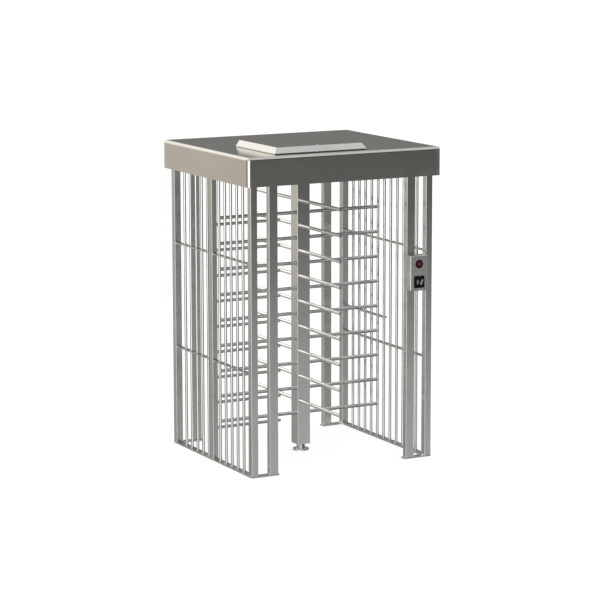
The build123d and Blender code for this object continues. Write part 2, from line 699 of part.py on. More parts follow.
def gear_motor():
    """Right-angle gearbox with its motor lying towards the hatch's front."""
    x, y = polar(MAIN_PITCH_RADIUS + GEAR_MODULE * PINION_TEETH / 2, MOTOR_DIRECTION)
    half = GEARBOX / 2
    middle = (PLATE_TOP + GEARBOX_TOP) / 2
    box = block((x - half, x + half), (y - half, y + half), (PLATE_TOP, GEARBOX_TOP))
    box = fillet(box.edges().filter_by(Axis.Z), 5)
    box += rod((x, y - half - 12, middle), (0, 1, 0), 14, MOTOR_RADIUS - 4)
    motor = rod((x, y - half - 12 - MOTOR_LONG, middle), (0, 1, 0), MOTOR_LONG, MOTOR_RADIUS)
    motor = fillet(motor.faces().sort_by(Axis.Y)[0].edges(), 5)
    shape = box + motor
    return shape - upright(x, y, (GEARBOX_TOP - 30, GEARBOX_TOP + 1), OUTPUT_RADIUS + RUNNING)


def motor_pinion():
    x, y = polar(MAIN_PITCH_RADIUS + GEAR_MODULE * PINION_TEETH / 2, MOTOR_DIRECTION)
    tooth_at = meshing_tooth(PINION_TEETH, MOTOR_DIRECTION)
    wheel = gear(PINION_TEETH, GEAR_BOTTOM - 1, GEAR_WIDE + 2, tooth_at)
    wheel += upright(0, 0, (GEARBOX_TOP + 1, GEAR_BOTTOM), 14)
    wheel += upright(0, 0, (GEARBOX_TOP - 26, GEAR_BOTTOM + GEAR_WIDE + 5), OUTPUT_RADIUS)
    return Pos(x, y, 0) * wheel


def encoder():
    x, y = polar(MAIN_PITCH_RADIUS + GEAR_MODULE * ENCODER_TEETH / 2, ENCODER_DIRECTION)
    body = block((x - 30, x + 30), (y - 30, y + 30), (PLATE_TOP, PLATE_TOP + 5))
    body += upright(x, y, (PLATE_TOP + 5, ENCODER_TOP), ENCODER_RADIUS)
    body = fillet(body.faces().sort_by(Axis.Z)[-1].edges(), 3)
    return body - upright(x, y, (ENCODER_TOP - 20, ENCODER_TOP + 1), ENCODER_SHAFT + RUNNING)


def encoder_gear():
    x, y = polar(MAIN_PITCH_RADIUS + GEAR_MODULE * ENCODER_TEETH / 2, ENCODER_DIRECTION)
    tooth_at = meshing_tooth(ENCODER_TEETH, ENCODER_DIRECTION)
    wheel = gear(ENCODER_TEETH, GEAR_BOTTOM - 1, GEAR_WIDE + 2, tooth_at)
    z = (GEAR_BOTTOM - 2, GEAR_BOTTOM + GEAR_WIDE + 2)
    for place in range(5):
        hole_x, hole_y = polar(23, 72 * place)
        wheel -= upright(hole_x, hole_y, z, 7)
    wheel += upright(0, 0, (ENCODER_TOP + 1, GEAR_BOTTOM), 9)
    wheel += upright(0, 0, (ENCODER_TOP - 16, GEAR_BOTTOM + GEAR_WIDE + 5), ENCODER_SHAFT)
    return Pos(x, y, 0) * wheel


def exit_pawl():
    """Right-hand locking lever, swung clear of the disc; its tooth blocks one way of turning."""
    px, py = PAWL_PIVOT
    tooth_in = DISC_RADIUS - NOTCH_DEEP + 1.5
    inner = 109.0
    outer = px + 6
    lever = outline([(inner, py), (inner, 11), (tooth_in, 11), (tooth_in, -4), (inner, -16),
                     (inner, -24), (outer, -24), (outer, py)], DISC_BOTTOM, DISC_THICK)
    lever += upright(px, py, (DISC_BOTTOM, DISC_BOTTOM + DISC_THICK), 13)
    lever -= upright(px, py, (DISC_BOTTOM - 1, DISC_BOTTOM + DISC_THICK + 1), PIN_RADIUS + RUNNING)
    return Pos(px, py, 0) * Rot(0, 0, PAWL_SWING) * Pos(-px, -py, 0) * lever


def pawl_pins():
    """Headed pins on which the two pawls turn."""
    pins = []
    for side in (-1, 1):
        x, y = side * PAWL_PIVOT[0], PAWL_PIVOT[1]
        pin = upright(x, y, (PLATE_TOP, DISC_BOTTOM - 0.5), 9)
        pin += upright(x, y, (DISC_BOTTOM - 0.5, DISC_BOTTOM + DISC_THICK + 0.5), PIN_RADIUS)
        pin += upright(x, y, (DISC_BOTTOM + DISC_THICK + 0.5, DISC_BOTTOM + DISC_THICK + 4), 8)
        pins.append(pin)
    return pins


def solenoid():
    """Right-hand push solenoid, on the mechanism plate."""
    y = (-SOLENOID_HALF_Y, SOLENOID_HALF_Y)
    middle = DISC_BOTTOM + DISC_THICK / 2
    body = block(SOLENOID_X, y, (PLATE_TOP, SOLENOID_TOP))
    body = fillet(body.edges().filter_by(Axis.X), 3)
    return body - rod((SOLENOID_X[0] - 1, 0, middle), (1, 0, 0), SOLENOID_X[1], PLUNGER_RADIUS + RUNNING)


def plunger():
    """Right-hand plunger at rest, with a rounded nose towards its pawl."""
    middle = DISC_BOTTOM + DISC_THICK / 2
    collar = SOLENOID_X[1] + PLUNGER_TRAVEL + 1
    stem = rod((PLUNGER_TIP, 0, middle), (1, 0, 0), collar - PLUNGER_TIP, PLUNGER_RADIUS)
    stem = fillet(stem.faces().sort_by(Axis.X)[0].edges(), 3)
    return stem + rod((collar, 0, middle), (1, 0, 0), 4, 12)


def notch_sensor():
    """Threaded proximity sensor on an angle bracket, facing the disc's rear notch."""
    middle = DISC_BOTTOM + DISC_THICK / 2
    sensor = rod((0, DISC_RADIUS + 3, middle), (0, 1, 0), 55, 6)
    bracket = block((-15, 15), (DISC_RADIUS + 20, DISC_RADIUS + 23), (PLATE_TOP, middle + 14))
    bracket += block((-15, 15), (DISC_RADIUS + 20, DISC_RADIUS + 50), (PLATE_TOP, PLATE_TOP + 3))
    nuts = rod((0, DISC_RADIUS + 16, middle), (0, 1, 0), 11, 9)
    return sensor + bracket + nuts


TRAY_X = (-700.0, -276.0)
TRAY_Y = (-520.0, 200.0)
TRAY_TOP = PLATE_BOTTOM + 2


def electronics_tray():
    """Folded sheet that carries the electronics, from the side beam to the near cross beam."""
    tray = block(TRAY_X, TRAY_Y, (PLATE_BOTTOM, TRAY_TOP))
    for y in TRAY_Y:
        inward = y + (2 if y < 0 else -2)
        tray += block((TRAY_X[0], TRAY_X[1]), sorted((y, inward)), (PLATE_BOTTOM, TRAY_TOP + 18))
    return tray


def control_board():
    """Circuit board on four pillars, with its larger parts."""
    x, y = (-480.0, -320.0), (-300.0, -90.0)
    board_z = (TRAY_TOP + 12, TRAY_TOP + 14)
    board = block(x, y, board_z)
    for corner_x in (x[0] + 8, x[1] - 8):
        for corner_y in (y[0] + 8, y[1] - 8):
            board += upright(corner_x, corner_y, (TRAY_TOP, board_z[1] + 2), 3.5)
    top = board_z[1]
    board += block((x[0] + 14, x[0] + 26), (y[0] + 22, y[1] - 22), (top, top + 14))
    board += block((x[1] - 26, x[1] - 14), (y[0] + 22, y[1] - 22), (top, top + 14))
    board += block((-418, -382), (-210, -174), (top, top + 4))
    for place in range(4):
        board += block((-440 + 24 * place, -424 + 24 * place), (-140, -112), (top, top + 16))
    for place in range(3):
        board += upright(-430 + 24 * place, -262, (top, top + 22), 8)
    return board


def power_supply():
    case = block((-470, -330), (-500, -340), (TRAY_TOP, TRAY_TOP + 42))
    for slot in range(9):
        y = -488 + 16 * slot
        case -= block((-450, -380), (y, y + 7), (TRAY_TOP + 39, TRAY_TOP + 43))
    return case


def counter_module():
    """Totalising visitor counter, its sloped face towards the hatch."""
    points = [(22, 0), (82, 0), (82, 62), (56, 62), (22, 30)]
    section = make_face(Polyline(*[(y, TRAY_TOP + z) for y, z in points], close=True))
    return extrude(Plane.YZ.offset(-440) * section, 130)


def make_head():
    keep("mechanism_plate", mechanism_plate())
    keep("gear_motor", gear_motor())
    keep("motor_pinion", motor_pinion())
    keep("encoder", encoder())
    keep("encoder_gear", encoder_gear())
    keep("exit_pawl", exit_pawl())
    keep("entry_pawl", mirrored(exit_pawl()))
    keep("pawl_pins", *pawl_pins())
    keep("lock_solenoids", solenoid(), mirrored(solenoid()))
    keep("exit_plunger", plunger())
    keep("entry_plunger", mirrored(plunger()))
    keep("notch_sensor", notch_sensor())
    keep("electronics_tray", electronics_tray())
    keep("control_board", control_board())
    keep("power_supply", power_supply())
    keep("counter_module", counter_module())


# ---------------------------------------------------------------- reader

READER_WALL = 2.0
READER_RIGHT = READER_LEFT + READER_WIDE
READER_X = READER_LEFT + READER_WIDE / 2
READER_BACK = -HALF_Y
READER_FRONT = -HALF_Y - READER_DEEP
READER_TOP = READER_BOTTOM + READER_TALL


def reader_housing():
    """Folded box, open at the back, with a round and a square window in its face."""
    x = (READER_LEFT, READER_RIGHT)
    y = (READER_FRONT, READER_BACK - 3)
    z = (READER_BOTTOM, READER_TOP)
    box = block(x, y, z)
    box = fillet(box.edges().filter_by(Axis.Y) + box.faces().sort_by(Axis.Y)[0].edges(), 5)
    box -= block((x[0] + READER_WALL, x[1] - READER_WALL), (y[0] + READER_WALL, y[1] + 1),
                 (z[0] + READER_WALL, z[1] - READER_WALL))
    box -= rod((READER_X, y[0] - 1, LENS_Z), (0, 1, 0), 10, LENS_RADIUS - 2)
    half = CARD_X / 2 - 4
    tall = CARD_TALL / 2 - 4
    window_x = (READER_X - half, READER_X + half)
    return box - block(window_x, (y[0] - 1, y[0] + 5), (CARD_Z - tall, CARD_Z + tall))


def indicator_lens():
    """Domed lens with a stem through the round window."""
    front = READER_FRONT
    lens = rod((READER_X, front, LENS_Z), (0, -1, 0), 5, LENS_RADIUS)
    lens = fillet(lens.faces().sort_by(Axis.Y)[0].edges(), 3)
    return lens + rod((READER_X, front, LENS_Z), (0, 1, 0), 16, LENS_RADIUS - 2.1)


def card_reader():
    """Square proximity reader, its back part through the square window."""
    front = READER_FRONT
    half = CARD_X / 2
    tall = CARD_TALL / 2
    pad = block((READER_X - half, READER_X + half), (front - 6, front), (CARD_Z - tall, CARD_Z + tall))
    pad = fillet(pad.edges().filter_by(Axis.Y), 5)
    pad = fillet(pad.faces().sort_by(Axis.Y)[0].edges(), 1.5)
    half -= 4.1
    tall -= 4.1
    neck_x = (READER_X - half, READER_X + half)
    return pad + block(neck_x, (front, front + 16), (CARD_Z - tall, CARD_Z + tall))


def make_reader():
    keep("reader_housing", reader_housing())
    keep("indicator_lens", indicator_lens())
    keep("card_reader", card_reader())
    plate = block((READER_LEFT, READER_RIGHT), (READER_BACK - 3, READER_BACK), (READER_BOTTOM, READER_TOP))
    keep("reader_back_plate", fillet(plate.edges().filter_by(Axis.Y), 5))


# ---------------------------------------------------------------- write

make_cage()
make_roof()
make_lid()
make_rotor()
make_bearings()
make_head()
make_reader()

os.makedirs("parts", exist_ok=True)
for name, shape in nodes.items():
    export_step(shape, f"parts/{name}.step")
print(len(nodes), "nodes")
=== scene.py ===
"""Looks of the full-height turnstile: finishes, small parts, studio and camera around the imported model."""
import json
import math

import bmesh
import bpy
from mathutils import Matrix, Vector


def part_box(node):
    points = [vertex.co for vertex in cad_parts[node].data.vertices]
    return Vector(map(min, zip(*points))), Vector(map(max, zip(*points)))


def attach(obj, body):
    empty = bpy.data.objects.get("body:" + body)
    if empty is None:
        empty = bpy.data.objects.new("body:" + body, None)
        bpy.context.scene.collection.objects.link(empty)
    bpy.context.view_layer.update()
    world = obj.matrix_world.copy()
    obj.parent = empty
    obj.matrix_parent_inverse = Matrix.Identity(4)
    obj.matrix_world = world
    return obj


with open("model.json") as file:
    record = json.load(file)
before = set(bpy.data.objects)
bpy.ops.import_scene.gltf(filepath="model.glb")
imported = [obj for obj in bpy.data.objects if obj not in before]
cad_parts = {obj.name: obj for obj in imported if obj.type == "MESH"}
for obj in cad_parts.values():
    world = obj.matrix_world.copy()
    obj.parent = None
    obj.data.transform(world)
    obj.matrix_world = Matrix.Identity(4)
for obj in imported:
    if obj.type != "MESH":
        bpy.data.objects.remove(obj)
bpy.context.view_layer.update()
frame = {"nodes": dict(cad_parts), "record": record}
NODES = frame["nodes"]
SLOT_OF = {part["node"]: part["material_slot"] for part in frame["record"]["subparts"]}


# ---------------------------------------------------------------- finishes

class Finish:
    """A node material under construction: a principled shader and helpers that add to it."""

    def __init__(self, name, colour, roughness, metallic):
        self.material = bpy.data.materials.new(name)
        self.material.use_nodes = True
        self.nodes = self.material.node_tree.nodes
        self.links = self.material.node_tree.links
        self.shader = self.nodes["Principled BSDF"]
        self.shader.inputs["Base Color"].default_value = (*colour, 1)
        self.shader.inputs["Roughness"].default_value = roughness
        self.shader.inputs["Metallic"].default_value = metallic
        self.place = self.nodes.new("ShaderNodeTexCoord").outputs["Object"]
        self.normal = None

    def link(self, source, target):
        self.links.new(source, target)

    def noise(self, scale, stretch=(1, 1, 1), detail=4.0, roughness=0.55):
        """Noise in the object's own metres; stretch divides the scale along each axis."""
        mapping = self.nodes.new("ShaderNodeMapping")
        mapping.inputs["Scale"].default_value = [scale / part for part in stretch]
        self.link(self.place, mapping.inputs["Vector"])
        noise = self.nodes.new("ShaderNodeTexNoise")
        noise.inputs["Scale"].default_value = 1.0
        noise.inputs["Detail"].default_value = detail
        noise.inputs["Roughness"].default_value = roughness
        self.link(mapping.outputs["Vector"], noise.inputs["Vector"])
        return noise.outputs["Fac"]

    def ramp(self, source, low, high, start=0.3, end=0.7):
        """Maps a factor to a range of values."""
        ranged = self.nodes.new("ShaderNodeMapRange")
        ranged.inputs["From Min"].default_value = start
        ranged.inputs["From Max"].default_value = end
        ranged.inputs["To Min"].default_value = low
        ranged.inputs["To Max"].default_value = high
        self.link(source, ranged.inputs["Value"])
        return ranged.outputs["Result"]

    def calc(self, kind, first, second):
        """Arithmetic on two factors or plain numbers."""
        node = self.nodes.new("ShaderNodeMath")
        node.operation = kind
        for place, value in enumerate((first, second)):
            if isinstance(value, (int, float)):
                node.inputs[place].default_value = value
            else:
                self.link(value, node.inputs[place])
        return node.outputs[0]

    def mix(self, factor, first, second):
        """Mixes two colours by a factor."""
        node = self.nodes.new("ShaderNodeMix")
        node.data_type = "RGBA"
        self.link(factor, node.inputs["Factor"])
        for socket, value in (("A", first), ("B", second)):
            target = [s for s in node.inputs if s.name == socket and s.type == "RGBA"][0]
            if isinstance(value, tuple):
                target.default_value = (*value, 1)
            else:
                self.link(value, target)
        return [s for s in node.outputs if s.type == "RGBA"][0]

    def edges(self, radius):
        """Mask of the sharp edges, from how far a rounded normal leans away, and the rounded normal."""
        bevel = self.nodes.new("ShaderNodeBevel")
        bevel.samples = 4
        bevel.inputs["Radius"].default_value = radius
        geometry = self.nodes.new("ShaderNodeNewGeometry")
        dot = self.nodes.new("ShaderNodeVectorMath")
        dot.operation = "DOT_PRODUCT"
        self.link(bevel.outputs["Normal"], dot.inputs[0])
        self.link(geometry.outputs["Normal"], dot.inputs[1])
        self.normal = bevel.outputs["Normal"]
        return self.ramp(dot.outputs["Value"], 1.0, 0.0, 0.86, 0.995)

    def bump(self, height, distance, strength=1.0):
        """Adds relief of a depth in metres to the normal so far."""
        node = self.nodes.new("ShaderNodeBump")
        node.inputs["Distance"].default_value = distance
        node.inputs["Strength"].default_value = strength
        self.link(height, node.inputs["Height"])
        if self.normal is not None:
            self.link(self.normal, node.inputs["Normal"])
        self.normal = node.outputs["Normal"]

    def finish(self, colour=None, roughness=None):
        """Connects what was made and returns the material."""
        if colour is not None:
            self.link(colour, self.shader.inputs["Base Color"])
        if roughness is not None:
            self.link(roughness, self.shader.inputs["Roughness"])
        if self.normal is not None:
            self.link(self.normal, self.shader.inputs["Normal"])
        return self.material


def tinted(colour, factor):
    """A lighter or darker shade of a colour."""
    return tuple(min(part * factor, 1.0) for part in colour)


GRAIN_STRETCH = 90.0            # how much longer than wide the brushed grain is


def brushed_steel(name, colour, along, roughness=0.22, grain=1.0):
    """Stainless steel: a directional grain, faint cloudiness, bright worn edges and light handling marks."""
    stretch = [1.0, 1.0, 1.0]
    stretch["XYZ".index(along)] = GRAIN_STRETCH
    steel = Finish(name, colour, roughness, 1.0)
    worn = steel.edges(0.0012)
    lines = steel.noise(2600.0, stretch, 3.0)
    streaks = steel.noise(420.0, stretch, 4.0)
    clouds = steel.noise(3.2, (1, 1, 1), 5.0)
    marks = steel.noise(22.0, (1, 1, 1), 6.0, 0.7)
    tone = steel.mix(steel.ramp(clouds, 0.0, 1.0, 0.35, 0.65), tinted(colour, 0.965), tinted(colour, 1.03))
    tone = steel.mix(steel.ramp(streaks, 0.0, 0.30 * grain), tone, tinted(colour, 0.84))
    tone = steel.mix(worn, tone, tinted(colour, 1.28))
    rough = steel.calc("ADD", steel.ramp(lines, roughness - 0.03, roughness + 0.05),
                       steel.ramp(marks, 0.0, 0.035, 0.55, 0.75))
    rough = steel.calc("SUBTRACT", rough, steel.calc("MULTIPLY", worn, 0.05))
    steel.bump(streaks, 0.00002 * grain, 0.5)
    steel.bump(lines, 0.000008 * grain, 0.6)
    return steel.finish(tone, rough)


def machined_steel(name, colour):
    """Turned or milled steel with fine tool marks and an oily film."""
    steel = Finish(name, colour, 0.25, 1.0)
    worn = steel.edges(0.0006)
    cuts = steel.noise(1600.0, (1, 1, 14), 2.0)
    film = steel.noise(38.0, (1, 1, 1), 5.0, 0.65)
    tone = steel.mix(steel.ramp(film, 0.0, 0.5, 0.4, 0.7), colour, tinted(colour, 0.62))
    tone = steel.mix(worn, tone, tinted(colour, 1.35))
    rough = steel.calc("ADD", steel.ramp(film, 0.18, 0.36), steel.ramp(cuts, -0.03, 0.05))
    steel.bump(cuts, 0.00001, 0.6)
    return steel.finish(tone, rough)


def zinc_plate(name, colour):
    """Zinc-plated sheet: crystalline patches with a soft sheen."""
    zinc = Finish(name, colour, 0.36, 0.9)
    worn = zinc.edges(0.0008)
    cells = zinc.nodes.new("ShaderNodeTexVoronoi")
    cells.inputs["Scale"].default_value = 85.0
    zinc.link(zinc.place, cells.inputs["Vector"])
    patches = zinc.ramp(cells.outputs["Distance"], 0.0, 1.0, 0.0, 0.8)
    clouds = zinc.noise(14.0, (1, 1, 1), 5.0)
    tone = zinc.mix(patches, tinted(colour, 0.86), tinted(colour, 1.1))
    tone = zinc.mix(zinc.ramp(clouds, 0.0, 0.35), tone, (0.42, 0.41, 0.36))
    tone = zinc.mix(worn, tone, tinted(colour, 1.25))
    rough = zinc.calc("ADD", zinc.ramp(patches, 0.30, 0.44, 0.0, 1.0), zinc.ramp(clouds, -0.03, 0.06))
    zinc.bump(patches, 0.00001, 0.5)
    return zinc.finish(tone, rough)


def plastic(name, colour, roughness, texture=900.0, depth=0.00003, gloss=0.5):
    """Moulded plastic: fine grain, faint blotches and rubbed edges."""
    moulded = Finish(name, colour, roughness, 0.0)
    worn = moulded.edges(0.0008)
    grain = moulded.noise(texture, (1, 1, 1), 2.0)
    blotch = moulded.noise(30.0, (1, 1, 1), 4.0)
    tone = moulded.mix(moulded.ramp(blotch, 0.0, 0.6), tinted(colour, 0.86), tinted(colour, 1.15))
    lighter = tuple(part * 1.6 + 0.008 for part in colour)
    tone = moulded.mix(moulded.calc("MULTIPLY", worn, 0.6), tone, lighter)
    rough = moulded.calc("ADD", moulded.ramp(blotch, roughness - 0.04, roughness + 0.06),
                         moulded.ramp(grain, -0.04, 0.04))
    moulded.shader.inputs["Specular IOR Level"].default_value = gloss
    moulded.bump(grain, depth, 0.7)
    return moulded.finish(tone, rough)


def powder_coat(name, colour):
    """Powder coat with an orange-peel surface, chipped to grey at its edges."""
    coat = Finish(name, colour, 0.42, 0.0)
    worn = coat.edges(0.001)
    peel = coat.noise(520.0, (1, 1, 1), 2.0)
    chips = coat.noise(160.0, (1, 1, 1), 5.0, 0.75)
    bare = coat.calc("MULTIPLY", worn, coat.ramp(chips, 0.0, 1.0, 0.48, 0.56))
    blotch = coat.noise(18.0)
    tone = coat.mix(coat.ramp(blotch, 0.0, 1.0), tinted(colour, 0.85), tinted(colour, 1.2))
    tone = coat.mix(bare, tone, (0.34, 0.34, 0.33))
    rough = coat.calc("ADD", coat.ramp(blotch, 0.36, 0.48), coat.calc("MULTIPLY", bare, -0.1))
    coat.bump(peel, 0.00006, 0.6)
    return coat.finish(tone, rough)


def rubber(name):
    """Dull black rubber with a pale bloom and rubbed edges."""
    dark = Finish(name, (0.025, 0.025, 0.026), 0.62, 0.0)
    worn = dark.edges(0.0012)
    grain = dark.noise(700.0, (1, 1, 1), 3.0)
    bloom = dark.noise(24.0, (1, 1, 1), 5.0)
    tone = dark.mix(dark.ramp(bloom, 0.0, 1.0, 0.4, 0.75), (0.022, 0.022, 0.023), (0.055, 0.054, 0.052))
    tone = dark.mix(dark.calc("MULTIPLY", worn, 0.5), tone, (0.085, 0.085, 0.085))
    rough = dark.ramp(grain, 0.54, 0.72)
    dark.bump(grain, 0.00005, 0.7)
    return dark.finish(tone, rough)


def bronze(name):
    """Porous sintered bronze with an oil film."""
    sintered = Finish(name, (0.55, 0.36, 0.17), 0.38, 1.0)
    worn = sintered.edges(0.0006)
    pores = sintered.noise(1500.0, (1, 1, 1), 3.0)
    film = sintered.noise(60.0)
    tone = sintered.mix(sintered.ramp(film, 0.0, 1.0), (0.45, 0.28, 0.12), (0.60, 0.41, 0.21))
    tone = sintered.mix(worn, tone, (0.78, 0.58, 0.32))
    sintered.bump(pores, 0.00003, 0.7)
    return sintered.finish(tone, sintered.ramp(pores, 0.30, 0.48))


def lens(name):
    """Deep red, nearly black tinted lens with a faintly speckled, satin surface."""
    red = Finish(name, (0.030, 0.001, 0.003), 0.20, 0.0)
    speck = red.noise(240.0, (1, 1, 1), 3.0)
    cloud = red.noise(60.0)
    tone = red.mix(red.ramp(cloud, 0.0, 1.0), (0.018, 0.0008, 0.002), (0.042, 0.002, 0.005))
    red.shader.inputs["Specular IOR Level"].default_value = 0.25
    red.bump(speck, 0.00004, 0.4)
    return red.finish(tone, red.ramp(speck, 0.22, 0.34))


def glowing(name, colour, strength):
    """A lit mark: emission with slight unevenness."""
    lit = Finish(name, colour, 0.4, 0.0)
    cloud = lit.noise(180.0)
    tone = lit.mix(lit.ramp(cloud, 0.0, 1.0), tinted(colour, 0.8), tinted(colour, 1.1))
    lit.link(tone, lit.shader.inputs["Emission Color"])
    lit.shader.inputs["Emission Strength"].default_value = strength
    return lit.finish(tone, lit.ramp(cloud, 0.3, 0.5))


STEEL = (0.62, 0.613, 0.592)
SHEET_STEEL = (0.61, 0.583, 0.545)
FINISHES = {
    "brushed_post": brushed_steel("steel_upright_grain", STEEL, "Z", 0.13),
    "brushed_column": brushed_steel("steel_column_grain", tinted(STEEL, 1.08), "Z", 0.12, 0.8),
    "brushed_flat": brushed_steel("steel_flat_grain", tinted(STEEL, 0.94), "Y", 0.17),
    "brushed_sheet": brushed_steel("steel_sheet_grain", SHEET_STEEL, "X", 0.14, 0.4),
    "brushed_box": brushed_steel("steel_box_grain", tinted(STEEL, 1.02), "Z", 0.24, 0.7),
    # Wall bars: the tube steel tinted darker (0.88 against 1.10 for the other tubes), painted shade
    "polished_tube": brushed_steel("steel_tube_grain_z_painted_shade", tinted(STEEL, 0.88), "Z", 0.11, 0.6),
    "zinc_plate": zinc_plate("zinc_plated", (0.56, 0.57, 0.57)),
    "machined_steel": machined_steel("machined_steel", (0.52, 0.52, 0.51)),
    "cast_housing": powder_coat("painted_casting", (0.13, 0.16, 0.19)),
    "bronze": bronze("sintered_bronze"),
    "black_coating": powder_coat("black_powder_coat", (0.03, 0.03, 0.033)),
    "nylon": plastic("moulded_nylon", (0.78, 0.76, 0.69), 0.45),
    "board": plastic("green_board", (0.02, 0.12, 0.05), 0.30, 300.0, 0.00001),
    "perforated_case": brushed_steel("stamped_aluminium", (0.78, 0.78, 0.77), "Y", 0.34, 0.5),
    "dark_plastic": plastic("dark_plastic", (0.035, 0.035, 0.038), 0.42),
    "seal_rubber": rubber("seal_rubber"),
    "red_lens": lens("red_lens"),
    "reader_plastic": plastic("reader_plastic", (0.002, 0.002, 0.0022), 0.38, 1400.0, 0.00001, 0.12),
}
TUBES_ALONG_X = brushed_steel("steel_tube_grain_x", tinted(STEEL, 1.10), "X", 0.12, 0.6)
# Lane arms: the same tube steel tinted brighter (1.25 against 1.10 for the other tubes), a painted highlight
# that makes them read whiter
TUBES_ALONG_Y_PAINTED_LIGHTER = brushed_steel("steel_tube_grain_y_painted_highlight", tinted(STEEL, 1.25), "Y", 0.12, 0.6)
DULLER_POSTS = brushed_steel("steel_duller_grain", tinted(STEEL, 1.06), "Z", 0.27, 1.2)
OWN_FINISH = {"comb_bars": TUBES_ALONG_X, "side_arms": TUBES_ALONG_X, "lane_arms": TUBES_ALONG_Y_PAINTED_LIGHTER}
OWN_FINISH.update({name: DULLER_POSTS for name in NODES if "_post_back_" in name or name == "comb_post"})

for name, node in NODES.items():
    node.data.materials.clear()
    node.data.materials.append(OWN_FINISH.get(name, FINISHES[SLOT_OF[name]]))


# ---------------------------------------------------------------- small parts

BEAD_SIDES = 6
RIPPLE_TURN = 2.4               # radians of ripple from one ring of a bead to the next
WELD_RIPPLE = 0.16              # share of a bead's radius
NEARLY_UPRIGHT = 0.99
CLOSED = 0.0001                 # radius at which a turned face counts as closed
MERGE_DISTANCE = 1e-6


def circle(place, radius, segments, height=0.0):
    """Points of a circle about the local Z axis of a placement."""
    turns = [2 * math.pi * step / segments for step in range(segments)]
    return [place @ Vector((radius * math.cos(turn), radius * math.sin(turn), height)) for turn in turns]


def bead_ring(point, side, top, size):
    """Points round one section of a bead."""
    turns = [2 * math.pi * step / BEAD_SIDES for step in range(BEAD_SIDES)]
    return [point + (side * math.cos(turn) + top * math.sin(turn)) * size for turn in turns]


class Piece:
    """One new piece: a mesh put together from turned, swept and bevelled forms, in metres."""

    def __init__(self, name):
        self.name = name
        self.mesh = bmesh.new()

    def rings(self, rings, closed, capped):
        """Skins a list of point rings."""
        made = [[self.mesh.verts.new(point) for point in ring] for ring in rings]
        count = len(made[0])
        following = made[1:] + made[:1] if closed else made[1:]
        for first, second in zip(made, following):
            for place in range(count):
                after = (place + 1) % count
                self.mesh.faces.new((first[place], first[after], second[after], second[place]))
        if capped:
            self.mesh.faces.new(list(reversed(made[0])))
            self.mesh.faces.new(made[-1])

    def turned(self, profile, place, segments=24):
        """Turns (radius, height) points about the local Z axis of a placement."""
        self.rings([circle(place, radius, segments, height) for radius, height in profile], False, True)

    def swept(self, path, radius, ripple=0.0, closed=True):
        """A round bead along a level path, rippled like a hand-laid weld."""
        path = [Vector(point) for point in path]
        rings = []
        for index, point in enumerate(path):
            after = path[(index + 1) % len(path)] if closed or index < len(path) - 1 else point
            before = path[index - 1] if closed or index > 0 else point
            along = (after - before).normalized()
            if abs(along.z) > NEARLY_UPRIGHT:
                side = along.orthogonal().normalized()
            else:
                side = along.cross(Vector((0, 0, 1))).normalized()
            size = radius * (1 + ripple * math.sin(RIPPLE_TURN * index))
            rings.append(bead_ring(point, side, side.cross(along), size))
        self.rings(rings, closed, not closed)

    def loop(self, place, across, radius, segments=20):
        """A weld bead round a tube whose axis is the placement's Z."""
        centre = place @ Vector((0, 0, 0))
        axis = (place.to_3x3() @ Vector((0, 0, 1))).normalized()
        rings = []
        for index, point in enumerate(circle(place, across, segments)):
            size = radius * (1 + WELD_RIPPLE * math.sin(RIPPLE_TURN * index))
            rings.append(bead_ring(point, (point - centre).normalized(), axis, size))
        self.rings(rings, True, False)

    def slab(self, place, size, bevel=0.0004):
        """A block with softened edges, centred on a placement."""
        made = bmesh.ops.create_cube(self.mesh, size=1.0, matrix=place @ Matrix.Diagonal((*size, 1)))
        edges = {edge for vert in made["verts"] for edge in vert.link_edges}
        bmesh.ops.bevel(self.mesh, geom=list(edges), offset=bevel, segments=2, profile=0.5,
                        affect="EDGES")

    def make(self, body, slot, material=None, smooth=40):
        """Links the piece, gives it its slot's finish or its own, and lets it ride on a body."""
        data = bpy.data.meshes.new(self.name)
        bmesh.ops.recalc_face_normals(self.mesh, faces=self.mesh.faces)
        self.mesh.to_mesh(data)
        self.mesh.free()
        piece = bpy.data.objects.new(self.name, data)
        bpy.context.scene.collection.objects.link(piece)
        data.materials.append(material or FINISHES[slot])
        data.shade_smooth()
        data.set_sharp_from_angle(angle=math.radians(smooth))
        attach(piece, body)
        return piece


def at(x, y, z, direction=(0, 0, 1)):
    """Placement with its Z axis along a direction."""
    turn = Vector((0, 0, 1)).rotation_difference(Vector(direction)).to_matrix().to_4x4()
    return Matrix.Translation((x, y, z)) @ turn


def solids_of(name):
    """Boxes of a node's separate solids, as (low corner, high corner)."""
    mesh = bmesh.new()
    mesh.from_mesh(NODES[name].data)
    bmesh.ops.remove_doubles(mesh, verts=mesh.verts, dist=MERGE_DISTANCE)
    seen, boxes = set(), []
    for start in mesh.verts:
        if start.index in seen:
            continue
        seen.add(start.index)
        stack, points = [start], []
        while stack:
            vert = stack.pop()
            points.append(vert.co.copy())
            for edge in vert.link_edges:
                other = edge.other_vert(vert)
                if other.index not in seen:
                    seen.add(other.index)
                    stack.append(other)
        low = Vector([min(point[axis] for point in points) for axis in range(3)])
        high = Vector([max(point[axis] for point in points) for axis in range(3)])
        boxes.append((low, high))
    mesh.free()
    return sorted(boxes, key=lambda pair: tuple(round(value, 4) for value in pair[0]))


def shifted(x, y, z):
    """Upright placement at a point."""
    return Matrix.Translation((x, y, z))


def leaning(x, y, z, degrees):
    """Placement turned about the front-to-back axis."""
    return shifted(x, y, z) @ Matrix.Rotation(math.radians(degrees), 4, "Y")


def between(low, high, part):
    """A place some part of the way from one number to another."""
    return low + (high - low) * part


def hex_head(piece, place, across=0.0085, tall=0.0055, washer=0.0012):
    """Washer and chamfered hexagon head."""
    piece.turned([(across * 1.1, 0), (across * 1.1, washer), (0.001, washer)], place)
    piece.turned([(across, washer), (across, tall * 0.8), (across * 0.86, tall), (0.001, tall)], place, 6)


